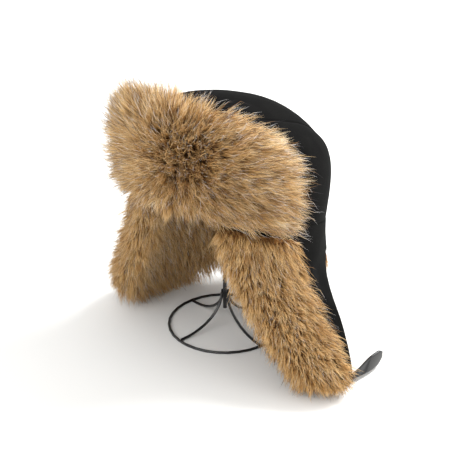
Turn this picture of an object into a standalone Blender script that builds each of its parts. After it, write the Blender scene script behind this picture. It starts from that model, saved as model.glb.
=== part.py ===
"""Trapper hat with deep pile fur, standing on a round wire display stand.

Units are metres, +Z is up, the front of the hat looks along -Y and the wearer's left is +X.
The hat is worked out in its own frame, whose origin is the centre of the crown's lower edge.
It is then sheared, so that it sags to the back, and lifted onto the stand. The whole thing is
moved last, so that the middle of its footprint is the origin.
"""

import math

import bmesh
import bpy
import numpy as np

# Crown: a strip from forehead to nape between two D-shaped side panels
rim_half_width = 0.091
rim_half_length = 0.103
rim_front_rise = 0.004
rim_height = 0.146
back_sag = 0.33
set_back = 0.021
crown_height = 0.125
seam_roundness = 0.34
seam_reach = 0.8
strip_half_width = 0.052
strip_end_half_width = 0.040
strip_bow = 0.018
side_belly = 0.010
shoulder = 0.018
shoulder_out = 0.16
shoulder_fall = 0.10
side_rise = 0.52
core_depth = 0.6
core_height = 0.25
cloth_wall = 0.0025
seam_gap = 0.0003

# Flaps: one band below the crown, cut into two ear flaps and a neck flap
ear_front_angle = math.radians(38)
ear_rear_angle = math.radians(130)
left_ear_drop = 0.150
right_ear_drop = 0.139
neck_drop = 0.040
left_splay = 0.093
right_splay = 0.028
pleat_depth = 0.007
neck_flare = 0.012
rear_corner_splay = 0.25
rear_splay_from = 0.30
rear_splay_to = 0.70
below_hem_splay = 0.9
right_front_splay = 1.6
right_rear_splay = 0.2
rear_blend_before = math.radians(30)
rear_blend_after = math.radians(12)
neck_blend_before = math.radians(10)
neck_blend_after = math.radians(35)

# Front flap: turned up against the crown
front_flap_angle = math.radians(68)
front_flap_height = 0.084
front_flap_lean = 0.016
front_flap_wall = 0.0025
front_flap_gap = 0.0006
front_flap_lift = 0.002
left_corner_start = 0.55
left_corner_fall = 0.22
right_corner_start = 0.1
right_corner_fall = 0.45
sample_angle = 0.16
sample_height = 0.008

# Fur: a pad on its backing, with a lock drawn out of every cell
pile_gap = 0.0010
ear_pad_depth = 0.009
front_pad_depth = 0.014
neck_pad_depth = 0.007
ear_lock_length = 0.017
front_lock_length = 0.022
neck_lock_length = 0.016
ear_fur_below_hem = 0.004
neck_fur_below_hem = 0.018
floor_clearance = 0.0012
furs_apart = 0.0015
brow_droop = 0.014
lock_rise = 0.6
lock_unevenness = 0.4
golden_share = 0.618
cuff_edge_depth = 0.8
rear_edge_depth = 0.9
front_hem_depth = 0.75
front_end_depth = 0.55
front_end_step = 0.225
top_lean_back = 0.3
upright_from_fall = 0.15
whorl_height = 0.5
whorl_radius = 0.05
longest_lie = 1.2

# Chin straps: a short tab on the tip of each ear flap
strap_length = 0.048
strap_width = 0.016
strap_root_width = 0.008
strap_wall = 0.003
strap_lift = 0.007
strap_turn_by = 0.8
strap_above_hem = 0.6
strap_full_width_at = 0.7
strap_round_from = 0.8
strap_round_off = 0.85

# Stand: wire bent and welded into a foot, a post and a top ring
wire_radius = 0.0016
post_radius = 0.0023
foot_ring_radius = 0.0627
foot_ring_steps = 32
foot_hub_height = 0.042
foot_flat = 0.0004
top_ring_radius = 0.050
top_ring_steps = 28
top_hub_drop = 0.035
leg_turn = math.radians(-10)
leg_count = 4
weld_gap = 0.0003

# Each row of an ear flap, by its share of the drop. Front, rear and cuff are shares of the flap's
# span, and the cuff is how far the fur wraps round the front edge. Splay and pleat grow downwards
left_ear_rows = [
    {"drop": 0.00, "front": 0.00, "rear": 1.00, "cuff": 0.46, "splay": 0.00, "rear_splay": 0.00, "pleat": 0.0},
    {"drop": 0.20, "front": 0.00, "rear": 1.00, "cuff": 0.45, "splay": 0.03, "rear_splay": 0.00, "pleat": 0.0},
    {"drop": 0.40, "front": 0.01, "rear": 0.92, "cuff": 0.43, "splay": 0.17, "rear_splay": 0.03, "pleat": 0.5},
    {"drop": 0.60, "front": 0.02, "rear": 0.77, "cuff": 0.42, "splay": 0.40, "rear_splay": 0.26, "pleat": 1.0},
    {"drop": 0.75, "front": 0.02, "rear": 0.65, "cuff": 0.41, "splay": 0.63, "rear_splay": 0.50, "pleat": 0.8},
    {"drop": 0.88, "front": 0.04, "rear": 0.53, "cuff": 0.37, "splay": 0.83, "rear_splay": 0.74, "pleat": 0.3},
    {"drop": 1.00, "front": 0.06, "rear": 0.42, "cuff": 0.31, "splay": 1.00, "rear_splay": 0.95, "pleat": 0.0},
]
right_ear_rows = [
    {"drop": 0.00, "front": 0.00, "rear": 1.00, "cuff": 0.30, "splay": 0.00, "pleat": 0.0},
    {"drop": 0.30, "front": 0.00, "rear": 1.00, "cuff": 0.30, "splay": 0.15, "pleat": 0.0},
    {"drop": 0.60, "front": 0.01, "rear": 0.97, "cuff": 0.30, "splay": 0.50, "pleat": 0.0},
    {"drop": 0.80, "front": 0.03, "rear": 0.86, "cuff": 0.36, "splay": 0.80, "pleat": 0.0},
    {"drop": 0.92, "front": 0.07, "rear": 0.73, "cuff": 0.46, "splay": 0.95, "pleat": 0.0},
    {"drop": 1.00, "front": 0.13, "rear": 0.58, "cuff": 0.48, "splay": 1.00, "pleat": 0.0},
]

# Fold down the left ear flap, behind its cuff at 0 and up to its rear edge at 1
ear_folds = [
    {"behind": -1.00, "out": 0.3},
    {"behind": -0.50, "out": 0.0},
    {"behind": 0.14, "out": 0.1},
    {"behind": 0.43, "out": 0.6},
    {"behind": 0.57, "out": -0.3},
    {"behind": 0.71, "out": -0.5},
    {"behind": 1.00, "out": 0.6},
]


def column(rows, key, value, share):
    """The named column of a short table at a share, by straight lines between its rows."""
    return float(np.interp(share, [row[key] for row in rows], [row[value] for row in rows]))


def smooth(value, low, high):
    """0 below low, 1 above high, and a soft rise between."""
    share = min(1.0, max(0.0, (value - low) / (high - low)))
    return share * share * (3 - 2 * share)


def unit(vector):
    return np.asarray(vector, float) / max(np.linalg.norm(vector), 1e-12)


def to_stand(point):
    """A point of the hat's own frame, sagging to the back and lifted onto the stand."""
    x, y, z = point
    return np.array([x, y + set_back, z + rim_height - back_sag * y])


def floor_below(point):
    """The height of the floor under a point, in the hat's own frame."""
    return back_sag * point[1] - rim_height


def above_floor(point):
    """A point of the hat's own frame, raised where it would reach the floor."""
    return np.array([point[0], point[1], max(point[2], floor_below(point) + floor_clearance)])


def rim_point(angle):
    """The crown's outer lower edge. The angle runs from 0 at the forehead, over the wearer's left ear."""
    rise = rim_front_rise * max(0.0, math.cos(angle)) ** 1.5
    return np.array([rim_half_width * math.sin(angle), -rim_half_length * math.cos(angle), rise])


def rim_outward(angle):
    """The level direction straight out of the rim."""
    return unit([math.sin(angle) / rim_half_width, -math.cos(angle) / rim_half_length, 0])


def first_seam_angle():
    """Where the seam of a side panel meets the rim, beside the forehead."""
    return math.asin(min(0.95, strip_end_half_width / rim_half_width))


def seam_point(share, side):
    """The seam between the strip and a side panel, from the forehead at 0 to the nape at 1."""
    arch = math.pi * share
    swell = (strip_half_width - strip_end_half_width) * math.sin(arch) ** 0.8
    start = rim_point(first_seam_angle())
    height = (crown_height - strip_bow) * math.sin(arch) ** seam_roundness
    base = start[2] * max(0.0, math.cos(arch))
    reach = math.copysign(abs(math.cos(arch)) ** seam_reach, math.cos(arch))
    return np.array([side * (strip_end_half_width + swell), start[1] * reach, base + height])


def strip_point(share, across):
    """The strip between the two seams: across runs from -1 to 1, and the middle is bowed out."""
    step = 1e-3
    seam = seam_point(share, 1)
    ahead = seam_point(min(1.0, share + step), 1)
    behind = seam_point(max(0.0, share - step), 1)
    normal = unit([0, behind[2] - ahead[2], ahead[1] - behind[1]])
    end_bow = rim_half_length - abs(rim_point(first_seam_angle())[1])
    bow = end_bow + (strip_bow - end_bow) * math.sin(math.pi * share) ** 1.2
    return np.array([seam[0] * across, seam[1], seam[2]]) + normal * bow * (1 - across * across)


def side_point(share, down, side):
    """A side panel: down runs from the seam at 0 to the rim at 1, on a curve that bellies out."""
    top = seam_point(share, side)
    first = first_seam_angle()
    angle = side * (first + (math.pi - 2 * first) * share)
    rim, out = rim_point(angle), rim_outward(angle)
    middle = math.sin(math.pi * share)
    fall = top[2] - rim[2]
    high = top + out * (shoulder_out * np.dot(rim - top, out) + (shoulder + side_belly) * middle)
    high[2] = top[2] - shoulder_fall * fall
    low = rim + out * side_belly * middle
    low[2] = rim[2] + side_rise * fall
    keep = 1 - down
    return keep**3 * top + 3 * keep**2 * down * high + 3 * keep * down**2 * low + down**3 * rim


def crown_inner(point):
    """The inner face of the crown's wall, on the line to a core that all three panels share."""
    core = np.array([0, core_depth * point[1], core_height * crown_height])
    return point - unit(point - core) * cloth_wall


def crown_shares():
    """Shares along the seam that all three panels use, closer together towards the rim."""
    return [0.5 - 0.5 * math.cos(math.pi * step / 18) for step in range(19)]


def crown_panels():
    """The outer points of the strip and of the two side panels, a seam's gap apart."""
    shares = crown_shares()
    across = np.linspace(-1, 1, 9) * (1 - seam_gap / strip_end_half_width)
    downs = np.linspace(0, 1, 9)
    panels = {"crown_strip": [[strip_point(share, place) for place in across] for share in shares]}
    for name, side in (("crown_side_left", 1), ("crown_side_right", -1)):
        panels[name] = [[side_point(share, down, side) for down in downs] for share in shares[1:-1]]
    return panels


def inner_panel(grid):
    return [[crown_inner(point) for point in row] for row in grid]


def facet_samples(grid, steps=6):
    """Points all over the flat faces between a grid's points."""
    found = []
    shares = np.linspace(0, 1, steps)
    for upper, lower in zip(grid, grid[1:]):
        for a, b, c, d in zip(upper, upper[1:], lower, lower[1:]):
            for down in shares:
                left, right = a + (c - a) * down, b + (d - b) * down
                found += [left + (right - left) * along for along in shares]
    return found


def ear_drop(side):
    return left_ear_drop if side > 0 else right_ear_drop


def band_point(angle, drop):
    """The outer face of the flaps, a drop below the rim. The ear flaps fan out and the neck flap hangs."""
    turn = angle % (2 * math.pi)
    left = turn <= math.pi
    own = turn if left else 2 * math.pi - turn
    point = rim_point(turn)
    share = drop / ear_drop(1 if left else -1)
    ear = 1 - smooth(own, ear_rear_angle - rear_blend_before, ear_rear_angle + rear_blend_after)
    rows = left_ear_rows if left else right_ear_rows
    past_hem = below_hem_splay * max(0.0, share - 1)
    reach = column(rows, "drop", "splay", share) + past_hem
    across = (own - ear_front_angle) / (ear_rear_angle - ear_front_angle)
    if left:
        late = smooth(across, rear_splay_from, rear_splay_to)
        reach += late * (column(rows, "drop", "rear_splay", share) + past_hem - reach)
        out = left_splay * reach * (ear + rear_corner_splay * smooth(share, 0.4, 0.9) * (1 - ear))
        cuff, rear = column(rows, "drop", "cuff", share), column(rows, "drop", "rear", share)
        fold = pleat_depth * column(rows, "drop", "pleat", share)
        fold *= column(ear_folds, "behind", "out", (across - cuff) / (rear - cuff))
        out += fold * (1 - smooth(across, 1.0, 1.3))
    else:
        spread = (right_front_splay - right_rear_splay) * min(1.0, max(0.0, across))
        out = right_splay * reach * ear * (right_front_splay - spread)
    point[0] += out if left else -out
    nape = smooth(own, ear_rear_angle - neck_blend_before, ear_rear_angle + neck_blend_after)
    point[1] += neck_flare * nape * (drop / neck_drop) ** 2
    point[2] -= drop
    return point


def band_normal(angle, drop):
    """The direction out of the flaps' outer face."""
    turn, fall = 0.01, 0.001
    around = band_point(angle + turn, drop) - band_point(angle - turn, drop)
    down = band_point(angle, drop + fall) - band_point(angle, max(0.0, drop - fall))
    return unit(np.cross(down, around))


def ear_angles(share, side):
    """The angles of an ear flap's columns in one row, of which the first six lie under the cuff."""
    span = ear_rear_angle - ear_front_angle
    rows = left_ear_rows if side > 0 else right_ear_rows
    front, cuff, rear = (
        ear_front_angle + span * column(rows, "drop", key, share) for key in ("front", "cuff", "rear")
    )
    rear -= seam_gap / rim_half_width
    own = list(np.linspace(front, cuff, 6)) + list(np.linspace(cuff, rear, 8))[1:]
    return [angle if side > 0 else 2 * math.pi - angle for angle in own]


def material(name, colour, roughness):
    found = bpy.data.materials.get(name) or bpy.data.materials.new(name)
    found.use_nodes = True
    shader = found.node_tree.nodes["Principled BSDF"]
    shader.inputs["Base Color"].default_value = (*colour, 1)
    shader.inputs["Roughness"].default_value = roughness
    return found


def black_suede():
    return material("black_suede", (0.012, 0.012, 0.012), 0.85)


def tan_fur():
    return material("tan_fur", (0.42, 0.26, 0.12), 0.8)


def black_leather():
    return material("black_leather", (0.01, 0.01, 0.012), 0.3)


def black_wire():
    return material("black_wire", (0.01, 0.01, 0.01), 0.4)


def closed_wall(outer, inner):
    """A closed body between two grids of points: its bmesh, its outer faces and the faces of its rim."""
    bm = bmesh.new()
    skin = [[bm.verts.new(point) for point in row] for row in outer]
    back = [[bm.verts.new(point) for point in row] for row in inner]

    def quads(rows):
        return [
            bm.faces.new((a, b, c, d))
            for upper, lower in zip(rows, rows[1:])
            for a, b, c, d in zip(upper, upper[1:], lower[1:], lower)
        ]

    skin_faces = quads(skin)
    quads(back)
    rim = {
        "first_row": quads([skin[0], back[0]]),
        "last_row": quads([skin[-1], back[-1]]),
        "first_column": quads([[row[0] for row in skin], [row[0] for row in back]]),
        "last_column": quads([[row[-1] for row in skin], [row[-1] for row in back]]),
    }
    bmesh.ops.recalc_face_normals(bm, faces=bm.faces[:])
    return bm, skin_faces, rim


def add_body(name, bm, finish, sharp=40):
    """An object from a body that is already on the stand."""
    mesh = bpy.data.meshes.new(name)
    bm.to_mesh(mesh)
    bm.free()
    mesh.materials.append(finish)
    mesh.shade_smooth()
    mesh.set_sharp_from_angle(angle=math.radians(sharp))
    obj = bpy.data.objects.new(name, mesh)
    bpy.context.collection.objects.link(obj)
    return obj


def add_hat_body(name, bm, finish, sharp=40):
    """An object from a body in the hat's own frame."""
    for vert in bm.verts:
        vert.co = to_stand(vert.co)
    return add_body(name, bm, finish, sharp)


def draw_locks(bm, faces, lie, length, kept_height):
    """Pokes each face and draws its middle out, along its normal and the lie of the pile."""
    for count, face in enumerate(faces):
        centre, normal = np.array(face.calc_center_median()), np.array(face.normal)
        along = lie(centre)
        along = along - normal * np.dot(along, normal)
        uneven = 1 + lock_unevenness * (math.modf(count * golden_share)[0] - 0.5)
        tip = above_floor(centre + unit(lock_rise * normal + along) * length * uneven)
        tip[2] = kept_height(tip)
        bmesh.ops.poke(bm, faces=[face])["verts"][0].co = tip


def hanging(_centre):
    return np.array([0.0, 0.0, -0.9])


def rim_height_by(point):
    """The height of the crown's edge beside a point."""
    return rim_point(math.atan2(point[0] / rim_half_width, -point[1] / rim_half_length))[2]


def below_rim(tip):
    """Keeps a lock of the flaps' fur below the crown's edge."""
    return min(tip[2], rim_height_by(tip) - furs_apart)


def above_rim(tip):
    """Keeps a lock of the front flap's fur above the ear flaps' fur. Between them it may hang lower."""
    own = abs(math.atan2(tip[0] / rim_half_width, -tip[1] / rim_half_length))
    droop = brow_droop * (1 - smooth(own, 0.6 * ear_front_angle, 0.85 * ear_front_angle))
    return max(tip[2], rim_height_by(tip) + furs_apart - droop)


def make_crown():
    for name, grid in crown_panels().items():
        bm, _, _ = closed_wall(grid, inner_panel(grid))
        add_hat_body(name, bm, black_suede())


def band_wall(angles_by_row, drops):
    """Outer and inner points of a flap's cloth."""
    grid = [[(angle, drop) for angle in angles] for angles, drop in zip(angles_by_row, drops)]
    outer = [[band_point(*place) for place in row] for row in grid]
    inner = [[band_point(*place) - band_normal(*place) * cloth_wall for place in row] for row in grid]
    return outer, inner


def ear_shares(side):
    return list(np.linspace(2 * seam_gap / ear_drop(side), 1, 13))


def neck_angles():
    gap = seam_gap / rim_half_width
    return list(np.linspace(ear_rear_angle + gap, 2 * math.pi - ear_rear_angle - gap, 17))


def neck_drops():
    return list(np.linspace(2 * seam_gap, neck_drop, 6))


def make_flaps():
    """Two ear flaps and the neck flap between them, a seam's gap below the crown and from each other."""
    for name, side in (("ear_flap_left", 1), ("ear_flap_right", -1)):
        shares = ear_shares(side)
        rows = [ear_angles(share, side) for share in shares]
        bm, _, _ = closed_wall(*band_wall(rows, [ear_drop(side) * share for share in shares]))
        add_hat_body(name, bm, black_suede())
    bm, _, _ = closed_wall(*band_wall([neck_angles()] * 6, neck_drops()))
    add_hat_body("neck_flap", bm, black_suede())


def make_ear_fur(name, side):
    """The pile of an ear flap: on the inner face, round the front edge and onto the outer face."""
    shares = ear_shares(side)[1:] + [1 + ear_fur_below_hem / ear_drop(side)]
    base, skin = [], []
    for share in shares:
        angles, drop = ear_angles(min(1.0, share), side), ear_drop(side) * share
        points = [band_point(angle, drop) for angle in angles]
        normals = [band_normal(angle, drop) for angle in angles]
        forward = unit(points[0] - points[1])
        behind, ahead = -(cloth_wall + pile_gap), pile_gap
        places = [(points[n] + normals[n] * behind, -normals[n]) for n in range(len(angles) - 1, 0, -1)]
        for offset, turn in ((behind, -1), (ahead, 1)):
            corner = points[0] + normals[0] * offset + forward * pile_gap
            places.append((corner, unit(normals[0] * turn + forward)))
        places += [(points[n] + normals[n] * ahead, normals[n]) for n in range(1, 6)]
        depths = [ear_pad_depth] * len(places)
        depths[-1] *= cuff_edge_depth
        depths[0] *= rear_edge_depth
        base.append([above_floor(point) for point, _ in places])
        skin.append([above_floor(point + normal * depth) for (point, normal), depth in zip(places, depths)])
    bm, faces, rim = closed_wall(skin, base)
    draw_locks(bm, faces + rim["last_row"], hanging, ear_lock_length, below_rim)
    add_hat_body(name, bm, tan_fur(), sharp=20)


def make_neck_fur():
    """The pile inside the neck flap, which shows below its hem."""
    drops = neck_drops()[1:] + [neck_drop + neck_fur_below_hem]
    base, skin = [], []
    for drop in drops:
        row = [(band_point(angle, drop), band_normal(angle, drop)) for angle in neck_angles()]
        base.append([point - normal * (cloth_wall + pile_gap) for point, normal in row])
        skin.append([point - normal * (cloth_wall + pile_gap + neck_pad_depth) for point, normal in row])
    bm, faces, rim = closed_wall(skin, base)
    draw_locks(bm, faces + rim["last_row"], hanging, neck_lock_length, below_rim)
    add_hat_body("neck_fur", bm, tan_fur(), sharp=20)


def front_height(height, angle):
    """The height of a row of the front flap at an angle: its upper corners are rounded off."""
    start, fall = left_corner_start, left_corner_fall
    if angle < 0:
        start, fall = right_corner_start, right_corner_fall
    past = max(0.0, abs(angle) / front_flap_angle - start) / (1 - start)
    return height * (1 - fall * past**2)


def front_grid(samples, angles, heights):
    """Points and outward directions of the front flap's inner face, which clears the crown everywhere."""
    turns = np.arctan2(samples[:, 0] / rim_half_width, -samples[:, 1] / rim_half_length)
    reach = np.hypot(samples[:, 0] / rim_half_width, samples[:, 1] / rim_half_length)
    grid = []
    for height in heights:
        row = []
        for angle in angles:
            rim, tall = rim_point(angle), front_height(height, angle)
            level = rim[2] + tall
            near = (abs(turns - angle) < sample_angle) & (abs(samples[:, 2] - level) < sample_height)
            upright = 1 - front_flap_lean / rim_half_length * (tall / front_flap_height) ** 2
            scale = max(upright, reach[near].max() if near.any() else 0)
            point = np.array([rim[0] * scale, rim[1] * scale, level])
            row.append((point + rim_outward(angle) * front_flap_gap, rim_outward(angle)))
        grid.append(row)
    return grid


def make_front_flap():
    """The turned-up front flap: its cloth against the crown, and its pile outside it and over its top."""
    samples = np.array([point for grid in crown_panels().values() for point in facet_samples(grid)])
    angles = np.linspace(-front_flap_angle, front_flap_angle, 25)
    heights = np.linspace(front_flap_lift, front_flap_height, 9)
    grid = front_grid(samples, angles, heights)
    inner = [[point for point, _ in row] for row in grid]
    outer = [[point + out * front_flap_wall for point, out in row] for row in grid]
    bm, _, _ = closed_wall(outer, inner)
    add_hat_body("front_flap", bm, black_suede())

    last = len(angles) - 1
    ends = [min(1.0, front_end_depth + front_end_step * min(n, last - n)) for n in range(last + 1)]
    outs = [out for _, out in grid[-1]]
    base, skin = [], []

    def add_row(points, directions, depth):
        base.append(points)
        skin.append([p + way * depth * end for p, way, end in zip(points, directions, ends)])

    for level, row in enumerate(outer):
        depth = front_pad_depth * (front_hem_depth if level == 0 else 1.0)
        add_row([point + out * pile_gap for point, out in zip(row, outs)], outs, depth)
    up = np.array([0, 0, 1.0])
    far = [point + (out + up) * pile_gap for point, out in zip(outer[-1], outs)]
    add_row(far, [unit(out + up) for out in outs], front_pad_depth)
    near = [point + up * pile_gap for point in inner[-1]]
    leans = [top_lean_back * max(-1, 1 - (1 - front_height(1, a)) / upright_from_fall) for a in angles]
    add_row(near, [unit(up - lean * out) for lean, out in zip(leans, outs)], front_pad_depth)
    bm, faces, rim = closed_wall(skin, base)
    whorl = rim_point(0.0) + up * front_flap_height * whorl_height

    def radiating(centre):
        away = centre - whorl
        return unit(away) * min(longest_lie, np.linalg.norm(away) / whorl_radius)

    draw_locks(bm, faces + rim["first_column"] + rim["last_column"], radiating, front_lock_length, above_rim)
    add_hat_body("front_flap_fur", bm, tan_fur(), sharp=20)


def make_strap(name, side):
    """A short tab that runs on to the back from the lowest corner of an ear flap, on its edge."""
    flap_drop = ear_drop(side)
    share = 1 - strap_above_hem * strap_root_width / flap_drop
    higher = share - strap_root_width / flap_drop
    drop = flap_drop * share
    angles = ear_angles(share, side)
    middle = [to_stand(band_point(a, drop) - band_normal(a, drop) * 0.5 * cloth_wall) for a in angles[-2:]]
    above = to_stand(band_point(ear_angles(higher, side)[-1], flap_drop * higher))
    edge = unit(above - middle[1])
    level = middle[1] - middle[0]
    level = unit([level[0], level[1], 0])
    start = middle[1] + level * seam_gap / math.sqrt(1 - np.dot(level, edge) ** 2)
    back = np.array([0, 1.0, 0])
    outer, inner = [], []
    for place in np.linspace(0, 1, 11):
        width = strap_root_width + (strap_width - strap_root_width) * smooth(place, 0, strap_full_width_at)
        rounding = max(0.0, (place - strap_round_from) / (1 - strap_round_from))
        width *= math.sqrt(1 - strap_round_off * rounding**2)
        up = unit(edge * (1 - place) + np.array([0, 0, 1.0]) * place)
        turned = min(1.0, place / strap_turn_by)
        along = unit(level * (1 - turned) + back * turned)
        out = unit(np.cross(along, up))
        held = place - 0.5 * place * turned if turned < 1 else 0.5 * strap_turn_by
        centre = start + (level * held + back * (place - held)) * strap_length
        centre[2] = max(centre[2] + strap_lift * place**2, floor_clearance + 0.5 * width + 0.5 * strap_wall)
        row = [centre + up * width * across for across in np.linspace(-0.5, 0.5, 5)]
        outer.append([point + out * 0.5 * strap_wall for point in row])
        inner.append([point - out * 0.5 * strap_wall for point in row])
    bm, _, _ = closed_wall(outer, inner)
    add_body(name, bm, black_leather())


def tube(name, points, radius, sides, closed=False, flat_at=None):
    """A round wire along a smooth run of points. A closed ring may have a flat underside."""
    bm = bmesh.new()
    rings = []
    count = len(points)
    for n, point in enumerate(points):
        ahead = points[(n + 1) % count] if closed else points[min(n + 1, count - 1)]
        behind = points[n - 1] if closed or n else points[0]
        along = unit(ahead - behind)
        side = unit(np.cross(along, [0, 0, 1])) if abs(along[2]) < 0.999 else np.array([1.0, 0, 0])
        over = np.cross(side, along)
        ring = []
        for step in range(sides):
            turn = 2 * math.pi * (step + 0.5) / sides
            spot = point + (side * math.cos(turn) + over * math.sin(turn)) * radius
            if flat_at is not None:
                spot[2] = max(spot[2], flat_at)
            ring.append(bm.verts.new(spot))
        rings.append(ring)
    pairs = list(zip(rings, rings[1:] + rings[:1])) if closed else list(zip(rings, rings[1:]))
    for first, second in pairs:
        for n in range(sides):
            bm.faces.new((first[n - 1], first[n], second[n], second[n - 1]))
    if not closed:
        bm.faces.new(rings[0])
        bm.faces.new(rings[-1])
    bmesh.ops.recalc_face_normals(bm, faces=bm.faces[:])
    return add_body(name, bm, black_wire(), sharp=50)


def ring_points(radius, steps, height, slope):
    """Points round a ring that is higher at the front by its slope."""
    turns = [2 * math.pi * n / steps for n in range(steps)]
    level = [(radius * math.cos(turn), radius * math.sin(turn)) for turn in turns]
    return [np.array([x, y, height - slope * y]) for x, y in level]


def inside_ring(radius, steps):
    """How far out a wire may reach inside a ring, whose straight runs cut its corners."""
    return radius * math.cos(math.pi / steps) - wire_radius - weld_gap


def make_foot():
    """The base ring and the legs that curve up from it to the post."""
    ring = ring_points(foot_ring_radius, foot_ring_steps, wire_radius - foot_flat, 0)
    tube("stand_ring", ring, wire_radius, 8, closed=True, flat_at=0.0)
    start = inside_ring(foot_ring_radius, foot_ring_steps)
    end = post_radius + wire_radius + weld_gap
    low = wire_radius + foot_flat
    for n in range(leg_count):
        turn = leg_turn + 2 * math.pi * n / leg_count
        points = []
        for share in np.linspace(0, 1, 11):
            out = start + (end - start) * math.sin(0.5 * math.pi * share)
            height = low + (foot_hub_height - low) * (1 - math.cos(0.5 * math.pi * share))
            points.append(np.array([math.cos(turn) * out, math.sin(turn) * out, height]))
        tube(f"stand_leg_{n + 1}", points, wire_radius, 6)


def make_post():
    """The post and, inside the crown, the arms and the ring that the hat sits on."""
    inner = [to_stand(p) for grid in crown_panels().values() for p in facet_samples(inner_panel(grid))]
    samples = np.array(inner)
    spread = np.hypot(samples[:, 0], samples[:, 1])
    touching = samples[abs(spread - top_ring_radius) < wire_radius]
    lowest = (touching[:, 2] + back_sag * touching[:, 1]).min()
    ring_height = lowest - wire_radius * math.hypot(1, back_sag) - weld_gap
    hub_height = ring_height - top_hub_drop
    ring = ring_points(top_ring_radius, top_ring_steps, ring_height, back_sag)
    tube("stand_top_ring", ring, wire_radius, 8, closed=True)
    heights = np.linspace(0.5 * foot_hub_height, hub_height + wire_radius, 6)
    tube("stand_post", [np.array([0, 0, height]) for height in heights], post_radius, 10)
    start = post_radius + weld_gap
    end = inside_ring(top_ring_radius, top_ring_steps) - wire_radius
    sag = back_sag * top_ring_radius / end
    for n in range(leg_count):
        turn = leg_turn + 2 * math.pi * n / leg_count
        points = []
        for share in np.linspace(0, 1, 9):
            out = start + (end - start) * math.sin(0.5 * math.pi * share)
            x, y = math.cos(turn) * out, math.sin(turn) * out
            rise = top_hub_drop * (1 - math.cos(0.5 * math.pi * share))
            points.append(np.array([x, y, hub_height + rise - sag * y]))
        tube(f"stand_arm_{n + 1}", points, wire_radius, 6)


def centre_footprint():
    """Moves everything alike, so that the middle of the whole thing's footprint is the origin."""
    points = np.array([vert.co for obj in bpy.data.objects for vert in obj.data.vertices])
    middle = (points.min(axis=0) + points.max(axis=0)) / 2
    for obj in bpy.data.objects:
        for vert in obj.data.vertices:
            vert.co.x -= middle[0]
            vert.co.y -= middle[1]


def clear_scene():
    for obj in list(bpy.data.objects):
        bpy.data.objects.remove(obj, do_unlink=True)


def main():
    clear_scene()
    make_crown()
    make_flaps()
    make_front_flap()
    make_ear_fur("ear_fur_left", 1)
    make_ear_fur("ear_fur_right", -1)
    make_neck_fur()
    make_strap("chin_strap_left", 1)
    make_strap("chin_strap_right", -1)
    make_foot()
    make_post()
    centre_footprint()


main()
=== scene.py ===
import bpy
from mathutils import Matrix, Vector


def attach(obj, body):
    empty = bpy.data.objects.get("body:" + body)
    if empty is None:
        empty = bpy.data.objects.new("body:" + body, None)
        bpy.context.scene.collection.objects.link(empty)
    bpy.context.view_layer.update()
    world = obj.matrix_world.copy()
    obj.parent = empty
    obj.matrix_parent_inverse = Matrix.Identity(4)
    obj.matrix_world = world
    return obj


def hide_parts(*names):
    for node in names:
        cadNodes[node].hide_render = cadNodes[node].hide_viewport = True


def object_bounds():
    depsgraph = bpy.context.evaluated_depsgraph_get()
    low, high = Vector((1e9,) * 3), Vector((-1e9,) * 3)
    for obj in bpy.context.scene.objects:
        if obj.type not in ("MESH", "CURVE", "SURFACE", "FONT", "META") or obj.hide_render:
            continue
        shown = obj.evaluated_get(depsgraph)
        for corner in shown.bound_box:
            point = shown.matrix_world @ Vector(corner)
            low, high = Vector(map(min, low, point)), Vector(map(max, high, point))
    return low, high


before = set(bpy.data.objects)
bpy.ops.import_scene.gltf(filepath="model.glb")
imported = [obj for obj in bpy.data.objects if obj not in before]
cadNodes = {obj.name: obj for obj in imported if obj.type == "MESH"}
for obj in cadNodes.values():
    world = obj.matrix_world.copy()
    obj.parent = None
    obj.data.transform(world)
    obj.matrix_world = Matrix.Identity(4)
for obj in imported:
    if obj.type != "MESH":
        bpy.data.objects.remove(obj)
cadBox = [list(corner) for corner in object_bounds()]

import math

import bmesh
import bpy
import numpy as np
from mathutils import Vector, noise

# Trapper hat with deep fur on a black wire display stand. Metres, +Z up, the front looks along -Y.

bpy.ops.object.select_all(action="DESELECT")


# Small helpers

def linear(hexCode):
    # sRGB hex to the linear colour that a shader wants
    parts = [int(hexCode[n:n + 2], 16) / 255 for n in (1, 3, 5)]
    return (*[p / 12.92 if p <= 0.04045 else ((p + 0.055) / 1.055) ** 2.4 for p in parts], 1)


def addNode(tree, kind, settings=None, inputs=None, stops=None):
    # one node, with its settings, the values or links of its inputs, and a ramp's stops
    made = tree.nodes.new(kind)
    for key, value in (settings or {}).items():
        setattr(made, key, value)
    for key, value in (inputs or {}).items():
        if isinstance(value, bpy.types.NodeSocket):
            tree.links.new(value, made.inputs[key])
        else:
            made.inputs[key].default_value = value
    if stops:
        ramp = made.color_ramp
        while len(ramp.elements) < len(stops):
            ramp.elements.new(1.0)
        for element, (place, colour) in zip(ramp.elements, stops):
            element.position = place
            element.color = linear(colour)
    return made


def newMaterial(name):
    made = bpy.data.materials.new(name)
    made.use_nodes = True
    return made, made.node_tree, made.node_tree.nodes["Principled BSDF"]


def setShader(shader, values):
    for key, value in values.items():
        shader.inputs[key].default_value = value


def unit(rows):
    rows = np.asarray(rows, float)
    return rows / np.maximum(np.linalg.norm(rows, axis=-1, keepdims=True), 1e-12)


def linkMesh(name, mesh, materials):
    made = bpy.data.objects.new(name, mesh)
    bpy.context.scene.collection.objects.link(made)
    mesh.materials.clear()
    for one in materials:
        mesh.materials.append(one)
    return made


def mergedBody(cadName):
    # a CAD node's loose triangles as one closed body, in a bmesh
    bm = bmesh.new()
    bm.from_mesh(cadNodes[cadName].data)
    bmesh.ops.remove_doubles(bm, verts=bm.verts, dist=1e-5)
    for layer in list(bm.loops.layers.uv):
        bm.loops.layers.uv.remove(layer)
    return bm


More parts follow.
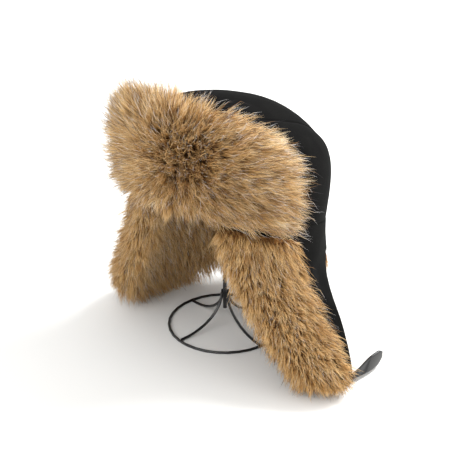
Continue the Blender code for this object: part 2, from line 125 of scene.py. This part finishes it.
def finishPiece(piece, replaced=()):
    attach(piece, "root")
    if replaced:
        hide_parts(*replaced)


# Materials

suedeLook = {"dark": "#070707", "light": "#131312", "patch": 0.022, "nap": 0.0013, "roughness": 0.95}


def brushedSuede():
    # polyester microsuede, brushed: matt black, with cloudy patches where the nap lies another way
    made, tree, shader = newMaterial("brushedSuede")
    place = addNode(tree, "ShaderNodeTexCoord").outputs["Object"]
    patch = addNode(tree, "ShaderNodeTexNoise", None, {
        "Vector": place, "Scale": 1 / suedeLook["patch"], "Detail": 4.0, "Roughness": 0.6})
    nap = addNode(tree, "ShaderNodeTexNoise", None, {
        "Vector": place, "Scale": 1 / suedeLook["nap"], "Detail": 2.0, "Roughness": 0.7})
    mixed = addNode(tree, "ShaderNodeMix", {"data_type": "FLOAT"}, {
        "Factor": 0.45, "A": patch.outputs["Fac"], "B": nap.outputs["Fac"]})
    colour = addNode(tree, "ShaderNodeValToRGB", None, {"Fac": mixed.outputs["Result"]}, [
        (0.36, suedeLook["dark"]), (0.66, suedeLook["light"])])
    bump = addNode(tree, "ShaderNodeBump", None, {
        "Height": nap.outputs["Fac"], "Strength": 0.35, "Distance": 0.0004})
    tree.links.new(colour.outputs["Color"], shader.inputs["Base Color"])
    tree.links.new(bump.outputs["Normal"], shader.inputs["Normal"])
    setShader(shader, {"Roughness": suedeLook["roughness"], "Specular IOR Level": 0.05,
                       "Sheen Weight": 0.02, "Sheen Roughness": 0.5, "Sheen Tint": linear("#8c8a88")})
    return made


furLook = {
    "root": [(0.0, "#2e1c10"), (0.3, "#5c381b"), (0.6, "#80542b"), (0.84, "#a07544"), (0.86, "#6b4424"),
             (1.0, "#6b4424")],
    "middle": [(0.0, "#684526"), (0.2, "#9c6d3a"), (0.45, "#cb9f62"), (0.65, "#e0bb80"), (0.84, "#efd7a8"),
               (0.86, "#a27a4c"), (0.93, "#a27a4c"), (0.94, "#d8b98a"), (1.0, "#d8b98a")],
    "tip": [(0.0, "#7f5a36"), (0.25, "#ba8a55"), (0.55, "#e6c490"), (0.84, "#f5e4c4"), (0.86, "#1b1a20"),
            (0.92, "#35333b"), (0.94, "#d0ced0"), (1.0, "#eeebe8")],
}


def fauxFur():
    # modacrylic pile: dark rust roots, tan middles, and guard hairs tipped black or pale grey
    made, tree, shader = newMaterial("fauxFur")
    place = addNode(tree, "ShaderNodeUVMap", {"uv_map": "OFBake"}).outputs["UV"]
    parts = addNode(tree, "ShaderNodeSeparateXYZ", None, {"Vector": place}).outputs
    ramps = {}
    for key in ("root", "middle", "tip"):
        ramp = addNode(tree, "ShaderNodeValToRGB", None, {"Fac": parts["X"]}, furLook[key])
        ramps[key] = ramp.outputs["Color"]
    toMiddle = addNode(tree, "ShaderNodeMapRange", {"interpolation_type": "SMOOTHSTEP"}, {
        "Value": parts["Y"], "From Min": 0.0, "From Max": 0.45}).outputs["Result"]
    toTip = addNode(tree, "ShaderNodeMapRange", {"interpolation_type": "SMOOTHSTEP"}, {
        "Value": parts["Y"], "From Min": 0.55, "From Max": 0.85}).outputs["Result"]
    lower = addNode(tree, "ShaderNodeMix", {"data_type": "RGBA"}, {"Factor": toMiddle})
    tree.links.new(ramps["root"], lower.inputs[6])
    tree.links.new(ramps["middle"], lower.inputs[7])
    upper = addNode(tree, "ShaderNodeMix", {"data_type": "RGBA"}, {"Factor": toTip})
    tree.links.new(lower.outputs[2], upper.inputs[6])
    tree.links.new(ramps["tip"], upper.inputs[7])
    tree.links.new(upper.outputs[2], shader.inputs["Base Color"])
    setShader(shader, {"Roughness": 0.5, "Specular IOR Level": 0.3})
    return made


def furBacking():
    # the dense short underwool between the hairs, seen only as a dark rust ground
    made, tree, shader = newMaterial("furBacking")
    place = addNode(tree, "ShaderNodeTexCoord").outputs["Object"]
    tuft = addNode(tree, "ShaderNodeTexNoise", None, {"Vector": place, "Scale": 1 / 0.003, "Detail": 3.0})
    colour = addNode(tree, "ShaderNodeValToRGB", None, {"Fac": tuft.outputs["Fac"]}, [
        (0.3, "#3b2614"), (0.7, "#82592f")])
    tree.links.new(colour.outputs["Color"], shader.inputs["Base Color"])
    setShader(shader, {"Roughness": 0.95, "Specular IOR Level": 0.1})
    return made


def patentLeather():
    # polyurethane-coated leather: smooth and wet-looking black, with a faint long grain
    made, tree, shader = newMaterial("patentLeather")
    place = addNode(tree, "ShaderNodeTexCoord").outputs["Object"]
    grain = addNode(tree, "ShaderNodeTexVoronoi", None, {"Vector": place, "Scale": 1 / 0.0011})
    bump = addNode(tree, "ShaderNodeBump", None, {
        "Height": grain.outputs["Distance"], "Strength": 0.12, "Distance": 0.0002})
    tree.links.new(bump.outputs["Normal"], shader.inputs["Normal"])
    setShader(shader, {"Base Color": linear("#060607"), "Roughness": 0.22, "Coat Weight": 0.3,
                       "Coat Roughness": 0.1})
    return made


def paintedSteel():
    # mild steel wire, powder coated: satin black with a slight orange peel
    made, tree, shader = newMaterial("paintedSteel")
    place = addNode(tree, "ShaderNodeTexCoord").outputs["Object"]
    peel = addNode(tree, "ShaderNodeTexNoise", None, {"Vector": place, "Scale": 1 / 0.0012, "Detail": 2.0})
    bump = addNode(tree, "ShaderNodeBump", None, {
        "Height": peel.outputs["Fac"], "Strength": 0.2, "Distance": 0.0002})
    tree.links.new(bump.outputs["Normal"], shader.inputs["Normal"])
    setShader(shader, {"Base Color": linear("#0d0d0e"), "Roughness": 0.36, "Coat Weight": 0.25,
                       "Coat Roughness": 0.2})
    return made


suede, fur, underwool = brushedSuede(), fauxFur(), furBacking()
leather, wirePaint = patentLeather(), paintedSteel()
print("materials made")


# Camera, floor and light

shot = {"azimuth": 42, "elevation": 27, "distance": 1.375, "lens": 102, "aim": (-0.0309, -0.0109, 0.124)}
turn, lift = math.radians(shot["azimuth"]), math.radians(shot["elevation"])
toCamera = Vector((math.sin(turn) * math.cos(lift), -math.cos(turn) * math.cos(lift), math.sin(lift)))
aim = Vector(shot["aim"])
cameraData = bpy.data.cameras.new("photoCamera")
cameraData.lens, cameraData.sensor_width = shot["lens"], 36
camera = bpy.data.objects.new("photoCamera", cameraData)
camera.location = aim + toCamera * shot["distance"]
camera.rotation_mode = "QUATERNION"
camera.rotation_quaternion = toCamera.to_track_quat("Z", "Y")
bpy.context.scene.collection.objects.link(camera)
bpy.context.scene.camera = camera

toRight = Vector((math.cos(turn), math.sin(turn), 0))
away = Vector((-math.sin(turn), math.cos(turn), 0))
studio = [
    {"name": "keyLight", "right": 0.95, "away": 0.45, "up": 1.2, "size": 0.8, "watts": 33},
    {"name": "frontLight", "right": -0.9, "away": -1.2, "up": 0.9, "size": 1.4, "watts": 10},
    {"name": "rightLight", "right": 1.5, "away": -0.9, "up": 0.7, "size": 1.2, "watts": 6},
]
for lamp in studio:
    lampData = bpy.data.lights.new(lamp["name"], "AREA")
    lampData.shape, lampData.size, lampData.energy = "DISK", lamp["size"], lamp["watts"]
    light = bpy.data.objects.new(lamp["name"], lampData)
    light.location = aim + toRight * lamp["right"] + away * lamp["away"] + Vector((0, 0, lamp["up"]))
    light.rotation_mode = "QUATERNION"
    light.rotation_quaternion = (light.location - aim).to_track_quat("Z", "Y")
    bpy.context.scene.collection.objects.link(light)

# white, so that nothing shows where the floor ends
world = bpy.data.worlds.new("paleRoom")
world.use_nodes = True
world.node_tree.nodes["Background"].inputs["Color"].default_value = linear("#ffffff")
world.node_tree.nodes["Background"].inputs["Strength"].default_value = 1.0
bpy.context.scene.world = world

bpy.ops.mesh.primitive_plane_add(size=60, location=(0, 0, 0))
floor = bpy.context.active_object
floor.name = "paleFloor"
paper, _, paperShader = newMaterial("mattePaper")
setShader(paperShader, {"Base Color": linear("#f4f4f2"), "Roughness": 0.9, "Specular IOR Level": 0.1})
floor.data.materials.append(paper)
bpy.context.scene.view_settings.view_transform = "Standard"
print("camera, floor and lights set")


# Cloth: each panel is a merged copy of its CAD wall, smoothed and given the suede's soft dents

# swell closes most of the 0.6 mm that the solids keep where the real panels are sewn
clothLook = {"sharpAngle": 50, "shadeAngle": 60, "crease": 1.0,
             "levels": 2, "swell": 0.00028, "dentSize": 0.028, "dentDepth": 0.0004, "rippleSize": 0.009, "rippleDepth": 0.00012}


def smoothedWall(name, cadName, look, surface):
    bm = mergedBody(cadName)
    bmesh.ops.join_triangles(bm, faces=bm.faces, angle_face_threshold=math.radians(30),
                             angle_shape_threshold=math.radians(50))
    crease = bm.edges.layers.float.new("crease_edge")
    for edge in bm.edges:
        if len(edge.link_faces) == 2 and edge.calc_face_angle() > math.radians(look["sharpAngle"]):
            edge[crease] = look["crease"]
    mesh = bpy.data.meshes.new(name)
    bm.to_mesh(mesh)
    bm.free()
    made = linkMesh(name, mesh, [surface])
    rounding = made.modifiers.new("rounding", "SUBSURF")
    rounding.levels = rounding.render_levels = look["levels"]
    bpy.context.view_layer.objects.active = made
    made.select_set(True)
    bpy.ops.object.modifier_apply(modifier="rounding")
    made.select_set(False)
    mesh = made.data
    normals = [vert.normal.copy() for vert in mesh.vertices]
    for vert, normal in zip(mesh.vertices, normals):
        dent = noise.noise(vert.co / look["dentSize"]) * look["dentDepth"]
        ripple = noise.noise(vert.co / look["rippleSize"]) * look["rippleDepth"]
        vert.co += normal * (look["swell"] + dent + ripple)
    mesh.shade_smooth()
    mesh.set_sharp_from_angle(angle=math.radians(look["shadeAngle"]))
    return made


clothPieces = {}
for cadName, pieceName in (
    ("crown_strip", "crownStrip"), ("crown_side_left", "crownSideLeft"),
    ("crown_side_right", "crownSideRight"), ("front_flap", "frontFlap"),
    ("ear_flap_left", "earFlapLeft"), ("ear_flap_right", "earFlapRight"), ("neck_flap", "neckFlap"),
):
    clothPieces[pieceName] = smoothedWall(pieceName, cadName, clothLook, suede)
    finishPiece(clothPieces[pieceName], [cadName])
print("cloth panels made:", sum(len(p.data.polygons) for p in clothPieces.values()), "faces")


# Straps

strapLook = {**clothLook, "crease": 0.35, "swell": 0.0, "dentDepth": 0.0, "rippleDepth": 0.0}
for cadName, pieceName in (("chin_strap_left", "chinStrapLeft"), ("chin_strap_right", "chinStrapRight")):
    strap = smoothedWall(pieceName, cadName, strapLook, leather)
    finishPiece(strap, [cadName])


# Stand: the CAD wire is right, and takes the paint

for cadName, wire in cadNodes.items():
    if cadName.startswith("stand_"):
        wire.data.materials.clear()
        wire.data.materials.append(wirePaint)
print("straps and stand done")


# Fur: hairs grow over each lock of the CAD pile, lie as it lies and gather to its tip

def locksOf(cadName, shortest):
    # every drawn-out cell of a pile: its four corners in order, and its tip
    bm = mergedBody(cadName)
    corners, tips = [], []
    for vert in bm.verts:
        if len(vert.link_faces) != 4:
            continue
        following = {}
        for loop in vert.link_loops:
            following[loop.link_loop_next.vert] = loop.link_loop_prev.vert
        ring = [next(iter(following))]
        while len(ring) < 4 and following.get(ring[-1]) is not None:
            ring.append(following[ring[-1]])
        if len(set(ring)) != 4:
            continue
        base = np.array([tuple(v.co) for v in ring])
        if np.linalg.norm(np.array(vert.co) - base.mean(axis=0)) > shortest:
            corners.append(base)
            tips.append(tuple(vert.co))
    bm.free()
    return np.array(corners), np.array(tips)


def bilinear(four, s, t):
    # values at the four corners of a cell, blended at s and t
    s, t = s[:, None], t[:, None]
    return (four[:, 0] * (1 - s) * (1 - t) + four[:, 1] * s * (1 - t)
            + four[:, 2] * s * t + four[:, 3] * (1 - s) * t)


class Pile:
    # the ground that hairs grow from: cells, with the normal and the lie of the pile at each corner
    def __init__(self, corners, tips):
        self.corners = corners
        lean = tips - corners.mean(axis=1)
        across = np.cross(corners[:, 2] - corners[:, 0], corners[:, 3] - corners[:, 1])
        self.area = np.linalg.norm(across, axis=1) / 2
        own = unit(across)
        keys = {}
        for cell, ring in enumerate(corners):
            for place in ring:
                keys.setdefault(tuple(np.round(place, 5)), []).append(cell)
        count = len(corners)
        self.normals, self.leans = np.zeros((count, 4, 3)), np.zeros((count, 4, 3))
        for cell, ring in enumerate(corners):
            for n, place in enumerate(ring):
                near = keys[tuple(np.round(place, 5))]
                self.normals[cell, n] = unit(own[near].mean(axis=0))
                self.leans[cell, n] = lean[near].mean(axis=0)

    def sample(self, rng, count, weight=None):
        share = self.area if weight is None else self.area * weight
        cell = rng.choice(len(self.area), count, p=share / share.sum())
        s, t = rng.random(count), rng.random(count)
        return (bilinear(self.corners[cell], s, t), unit(bilinear(self.normals[cell], s, t)),
                bilinear(self.leans[cell], s, t))


def nearest(points, targets):
    found = np.zeros(len(points), int)
    for start in range(0, len(points), 2000):
        part = points[start:start + 2000]
        found[start:start + 2000] = np.argmin(((part[:, None] - targets[None]) ** 2).sum(axis=2), axis=1)
    return found


shortestLock = 0.006   # a cell drawn out further than this is a lock of the pile
woolSunk = 0.001   # the wool lies this far below where the hairs start
hairReach = 0.012   # how far hairs may stand past the box of the solids
shortestShare = 0.3   # no hair is shortened below this share of its length
ownLean = 0.35   # how much of its lie a hair takes from its own place, the rest from its tuft
uprightLength = 0.8   # length of the hairs that stand up at a parting, as a share of the others
lowestHair = 0.0008   # hair tips stay this far above what the stand rests on


def hairCurves(pile, rng, look, kind, tone):
    # the curves, half widths and tones of one kind of hair on a pile
    want = look[kind]
    tufts = max(8, int(pile.area.sum() / want["tuftSize"] ** 2))
    tuftBase, tuftNormal, tuftLean = pile.sample(rng, tufts)
    reach = np.linalg.norm(tuftLean, axis=1, keepdims=True)
    tuftLean = tuftLean + rng.normal(size=(tufts, 3)) * reach * want["tuftStray"]
    tuftLean *= rng.uniform(*want["tuftLength"], size=(tufts, 1))
    tuftTone = rng.normal(size=tufts) * want["tuftTone"]
    base, normal, lean = pile.sample(rng, want["count"])
    own = nearest(base, tuftBase)
    count = want["count"]
    long = rng.uniform(*want["length"], size=(count, 1))
    reach = np.linalg.norm(lean, axis=1, keepdims=True)
    lean = lean * ownLean + tuftLean[own] * (1 - ownLean)
    lean = lean + rng.normal(size=(count, 3)) * reach * want["stray"]
    lean = lean * long
    upright = look["upright"](base)[:, None]
    reach = np.linalg.norm(lean, axis=1, keepdims=True)
    lean = lean * (1 - upright) + unit(normal + 0.25 * lean / reach) * reach * uprightLength * upright
    gather = (tuftBase[own] - base) * want["gather"]
    root = base - normal * want["sunk"]
    places = np.linspace(0, 1, want["points"])[None, :, None]
    rise = normal * reach * want["rise"] + rng.normal(size=(count, 3)) * reach * 0.5 * want["stray"]
    curves = (root[:, None] + lean[:, None] * places + gather[:, None] * places**1.2
              + rise[:, None] * np.sin(math.pi * places) + (normal * want["sunk"])[:, None] * places)
    # a hair that would reach too far past the whole hat's box is shortened along its own lie
    low, high = np.array(cadBox[0]) - hairReach, np.array(cadBox[1]) + hairReach
    run = curves[:, -1] - root
    room = np.where(run > 0, high - root, low - root) / np.where(np.abs(run) < 1e-6, 1e-6, run)
    share = np.clip(room.min(axis=1), shortestShare, 1.0)[:, None, None]
    curves = root[:, None] + (curves - root[:, None]) * share
    curves[:, :, 2] = np.maximum(curves[:, :, 2], lowestHair)
    widths = rng.uniform(0.7, 1.3, size=count) * want["width"] / 2
    tones = tone(base, normal) + tuftTone[own] + rng.normal(size=count) * want["tone"]
    if kind == "guard":
        tones = np.where(rng.random(count) < want["darkShare"], 0.865, 0.945) + rng.random(count) * 0.05
    else:
        tones = np.clip(tones, 0.01, 0.83)
    return curves, widths, tones


def hairMesh(name, parts):
    # closed three-sided hairs that taper to a point, with their tone and length in the UV map
    verts, faces3, faces4, uvs3, uvs4, start = [], [], [], [], [], 0
    for curves, widths, tones in parts:
        count, points = curves.shape[:2]
        tangent = unit(np.gradient(curves, axis=1))
        side = unit(np.cross(tangent, [0.31, 0.27, 0.91]))
        over = np.cross(tangent, side)
        rings = points - 1
        places = np.linspace(0, 1, points)
        taper = (1 - 0.45 * places[:-1] ** 1.5)[None, :, None, None] * widths[:, None, None, None]
        turns = np.arange(3) * 2 * math.pi / 3
        ring = (np.cos(turns)[None, None, :, None] * side[:, :-1, None]
                + np.sin(turns)[None, None, :, None] * over[:, :-1, None]) * taper + curves[:, :-1, None]
        body = np.concatenate([ring.reshape(count, rings * 3, 3), curves[:, -1:]], axis=1)
        each = rings * 3 + 1
        verts.append(body.reshape(-1, 3))
        first = start + np.arange(count)[:, None, None] * each
        last = (rings - 1) * 3
        three = np.array([[0, 2, 1]] + [[last + n, last + (n + 1) % 3, each - 1] for n in range(3)])
        four = np.array([[r * 3 + n, r * 3 + (n + 1) % 3, r * 3 + 3 + (n + 1) % 3, r * 3 + 3 + n]
                         for r in range(rings - 1) for n in range(3)])
        along = np.append(np.repeat(places[:-1], 3), 1.0)
        for faces, uvs, pattern in ((faces3, uvs3, three), (faces4, uvs4, four)):
            faces.append((first + pattern[None]).reshape(-1, pattern.shape[1]))
            uv = np.zeros((count, *pattern.shape, 2))
            uv[..., 0] = tones[:, None, None]
            uv[..., 1] = along[pattern][None]
            uvs.append(uv.reshape(-1, 2))
        start += count * each
    verts = np.concatenate(verts)
    three, four = np.concatenate(faces3), np.concatenate(faces4)
    mesh = bpy.data.meshes.new(name)
    mesh.vertices.add(len(verts))
    mesh.vertices.foreach_set("co", verts.astype(np.float32).ravel())
    mesh.loops.add(three.size + four.size)
    mesh.loops.foreach_set("vertex_index", np.concatenate([three.ravel(), four.ravel()]).astype(np.int32))
    mesh.polygons.add(len(three) + len(four))
    starts = np.concatenate([np.arange(len(three)) * 3, three.size + np.arange(len(four)) * 4])
    mesh.polygons.foreach_set("loop_start", starts.astype(np.int32))
    mesh.update(calc_edges=True)
    layer = mesh.uv_layers.new(name="OFBake")
    layer.data.foreach_set("uv", np.concatenate(uvs3 + uvs4).astype(np.float32).ravel())
    mesh.shade_smooth()
    mesh.validate()
    return mesh


def woolPad(name, cadName, shortest, sunk):
    # the pile's ground: the CAD pad with its locks pressed back in, a little below where hairs start
    bm = mergedBody(cadName)
    for vert in bm.verts:
        if len(vert.link_faces) == 4:
            near = [edge.other_vert(vert).co.copy() for edge in vert.link_edges]
            middle = sum(near, Vector()) / len(near)
            if (vert.co - middle).length > shortest:
                vert.co = middle
    bm.normal_update()
    normals = [vert.normal.copy() for vert in bm.verts]
    for vert, normal in zip(bm.verts, normals):
        vert.co -= normal * sunk
        vert.co.z = max(vert.co.z, 0.001)
    mesh = bpy.data.meshes.new(name)
    bm.to_mesh(mesh)
    bm.free()
    mesh.shade_smooth()
    return linkMesh(name, mesh, [underwool])


def bell(points, centre, size):
    return np.exp(-((points - np.array(centre)) ** 2).sum(axis=1) / size**2)


whorlPlace = (0.0126, -0.1032, 0.245)   # where the front's pile parts and shows its rust roots

frontFur = {
    "seed": 11,
    "upright": lambda points: 0.55 * bell(points, whorlPlace, 0.030),
    "hair": {"count": 26500, "points": 3, "tuftSize": 0.0044, "tuftStray": 0.28, "tuftLength": (0.75, 1.2),
             "tuftTone": 0.06, "length": (0.75, 1.2), "stray": 0.13, "gather": 0.50, "rise": 0.10,
             "sunk": 0.003, "width": 0.00060, "tone": 0.08},
    "guard": {"count": 6200, "points": 4, "tuftSize": 0.0050, "tuftStray": 0.2, "tuftLength": (0.9, 1.15),
              "tuftTone": 0.0, "length": (1.0, 1.45), "stray": 0.16, "gather": 0.35, "rise": 0.10,
              "sunk": 0.002, "width": 0.00038, "tone": 0.0, "darkShare": 0.65},
}


def frontToneAndTopLight(points, normals):
    rust = 0.13 * bell(points, whorlPlace, 0.034)
    # the rust bell is the roots' own colour; hair that faces up is made lighter by 0.05 of its normal's
    # height, a painted top light
    return 0.54 - rust + 0.05 * normals[:, 2]


def growFur(cadName, names, look, tone, split=None):
    pile = Pile(*locksOf(cadName, shortestLock))
    rng = np.random.default_rng(look["seed"])
    kinds = [hairCurves(pile, rng, look, kind, tone) for kind in ("hair", "guard")]
    pad = woolPad(names[0] + "Wool", cadName, shortestLock, woolSunk)
    finishPiece(pad, [cadName])
    for n, name in enumerate(names):
        parts = []
        for curves, widths, tones in kinds:
            keep = np.ones(len(curves), bool) if split is None else (curves[:, 0, 0] < split) == (n == 0)
            parts.append((curves[keep], widths[keep], tones[keep]))
        hair = linkMesh(name, hairMesh(name, parts), [fur])
        finishPiece(hair, [cadName])
        sides = sum(len(poly.vertices) - 2 for poly in hair.data.polygons)
        print(name, "has", sides, "triangles, from", len(pile.area), "locks")


growFur("front_flap_fur", ["frontFurRight", "frontFurLeft"], frontFur, frontToneAndTopLight,
        split=shot["aim"][0])

earFur = {
    "seed": 21,
    "upright": lambda points: np.zeros(len(points)),
    "hair": {"count": 16000, "points": 3, "tuftSize": 0.0046, "tuftStray": 0.24, "tuftLength": (0.85, 1.35),
             "tuftTone": 0.05, "length": (0.75, 1.2), "stray": 0.13, "gather": 0.48, "rise": 0.06,
             "sunk": 0.003, "width": 0.00064, "tone": 0.08},
    "guard": {"count": 2900, "points": 3, "tuftSize": 0.0060, "tuftStray": 0.2, "tuftLength": (0.9, 1.3),
              "tuftTone": 0.0, "length": (1.0, 1.5), "stray": 0.16, "gather": 0.35, "rise": 0.08,
              "sunk": 0.002, "width": 0.00038, "tone": 0.0, "darkShare": 0.6},
}
# each ear's tone rises with the height of its normal: hair that faces up is painted lighter, a painted top
# light
growFur("ear_fur_left", ["earFurLeft"], earFur, lambda points, normals: 0.46 + 0.04 * normals[:, 2])
growFur("ear_fur_right", ["earFurRight"], {**earFur, "seed": 22},
        lambda points, normals: 0.48 + 0.04 * normals[:, 2])

neckFur = {
    **earFur, "seed": 31,
    "hair": {**earFur["hair"], "count": 7000},
    "guard": {**earFur["guard"], "count": 1100},
}
growFur("neck_fur", ["neckFur"], neckFur, lambda points, normals: np.full(len(points), 0.50))
print("fur grown")
